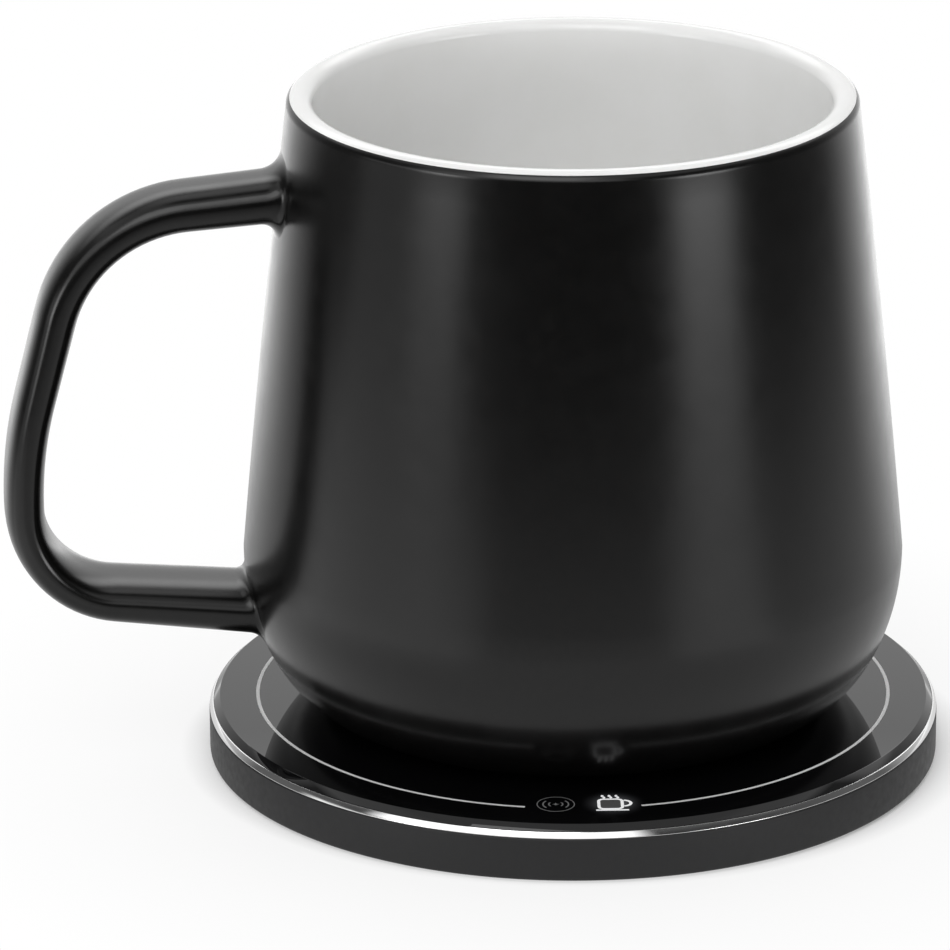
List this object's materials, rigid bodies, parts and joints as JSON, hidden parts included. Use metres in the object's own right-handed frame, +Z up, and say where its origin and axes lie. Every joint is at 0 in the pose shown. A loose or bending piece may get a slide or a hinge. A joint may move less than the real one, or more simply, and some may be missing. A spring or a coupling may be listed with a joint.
{
  "type": "mug warmer with mug",
  "caption": "Round thin warming base with a black glass top and chrome trim, and its matched ceramic mug with a heater in the foot, which lifts off.",
  "frame": {"origin": "centre of the base's underside, on the plane that it stands on", "axes": "+Z up; -Y is the front, with the two touch symbols; +Y is the back, with the power inlet; the mug's handle points to -X, turned 6 degrees towards the front"},
  "size_m": [0.1321, 0.104, 0.0971],
  "materials": {
    "base_shell": "matt black moulded side wall",
    "chrome_ring": "bright polished",
    "glass_top": "polished black-backed glass, opaque",
    "glass_tape": "black foam tape",
    "touch_contact_left": "conductive rubber",
    "touch_contact_right": "conductive rubber",
    "indicator_led_left": "clear lamp body",
    "indicator_led_right": "clear lamp body",
    "coil_pad": "amber insulating film",
    "transmitter_coil": "stranded copper, lacquered",
    "coil_lead_inner": "stranded copper, lacquered",
    "coil_lead_outer": "stranded copper, lacquered",
    "ferrite_plate": "dark sintered ferrite",
    "shield_plate": "plain sheet",
    "plate_sensor": "temperature sensor bead",
    "control_board": "green solder mask on laminate",
    "power_inductor": "dark ferrite block",
    "controller_chip": "black moulded chip",
    "resonant_capacitor_1": "tan ceramic",
    "resonant_capacitor_2": "tan ceramic",
    "resonant_capacitor_3": "tan ceramic",
    "driver_chip_1": "black moulded chip",
    "driver_chip_2": "black moulded chip",
    "usb_c_socket": "drawn steel",
    "usb_c_tongue": "black moulded plastic",
    "bottom_cover": "matt black moulded plastic",
    "cover_screw_1": "plated steel",
    "cover_screw_2": "plated steel",
    "cover_screw_3": "plated steel",
    "cover_screw_4": "plated steel",
    "base_pad": "matt dark silicone",
    "mug_body": "satin black glaze outside, white glaze on the lip and inside",
    "heater_disc": "plain sheet",
    "insulation_disc": "pressed mica",
    "mug_sensor": "temperature sensor bead",
    "receiver_board": "green solder mask on laminate",
    "rectifier_chip_1": "black moulded chip",
    "rectifier_chip_2": "black moulded chip",
    "receiver_capacitor_1": "tan ceramic",
    "receiver_capacitor_2": "tan ceramic",
    "thermal_fuse": "plated can",
    "receiver_ferrite": "dark sintered ferrite",
    "receiver_coil": "stranded copper, lacquered",
    "base_cap": "matt black moulded plastic",
    "seal_ring": "matt dark silicone"
  },
  "bodies": {
    "warming_base": {"base_shell": "base_shell", "chrome_ring": "chrome_ring", "glass_top": "glass_top", "glass_tape": "glass_tape", "touch_contact_left": "touch_contact_left", "touch_contact_right": "touch_contact_right", "indicator_led_left": "indicator_led_left", "indicator_led_right": "indicator_led_right", "coil_pad": "coil_pad", "transmitter_coil": "transmitter_coil", "coil_lead_inner": "coil_lead_inner", "coil_lead_outer": "coil_lead_outer", "ferrite_plate": "ferrite_plate", "shield_plate": "shield_plate", "plate_sensor": "plate_sensor", "control_board": "control_board", "power_inductor": "power_inductor", "controller_chip": "controller_chip", "resonant_capacitor_1": "resonant_capacitor_1", "resonant_capacitor_2": "resonant_capacitor_2", "resonant_capacitor_3": "resonant_capacitor_3", "driver_chip_1": "driver_chip_1", "driver_chip_2": "driver_chip_2", "usb_c_socket": "usb_c_socket", "usb_c_tongue": "usb_c_tongue", "bottom_cover": "bottom_cover", "cover_screw_1": "cover_screw_1", "cover_screw_2": "cover_screw_2", "cover_screw_3": "cover_screw_3", "cover_screw_4": "cover_screw_4", "base_pad": "base_pad"},
    "mug": {"mug_body": "mug_body", "heater_disc": "heater_disc", "insulation_disc": "insulation_disc", "mug_sensor": "mug_sensor", "receiver_board": "receiver_board", "rectifier_chip_1": "rectifier_chip_1", "rectifier_chip_2": "rectifier_chip_2", "receiver_capacitor_1": "receiver_capacitor_1", "receiver_capacitor_2": "receiver_capacitor_2", "thermal_fuse": "thermal_fuse", "receiver_ferrite": "receiver_ferrite", "receiver_coil": "receiver_coil", "base_cap": "base_cap", "seal_ring": "seal_ring"}
  },
  "joints": [
    {"name": "mug_lift", "type": "slide", "parent": "warming_base", "child": "mug", "axis": [0, 0, 1], "range_m": [0, 0.12]}
  ]
}
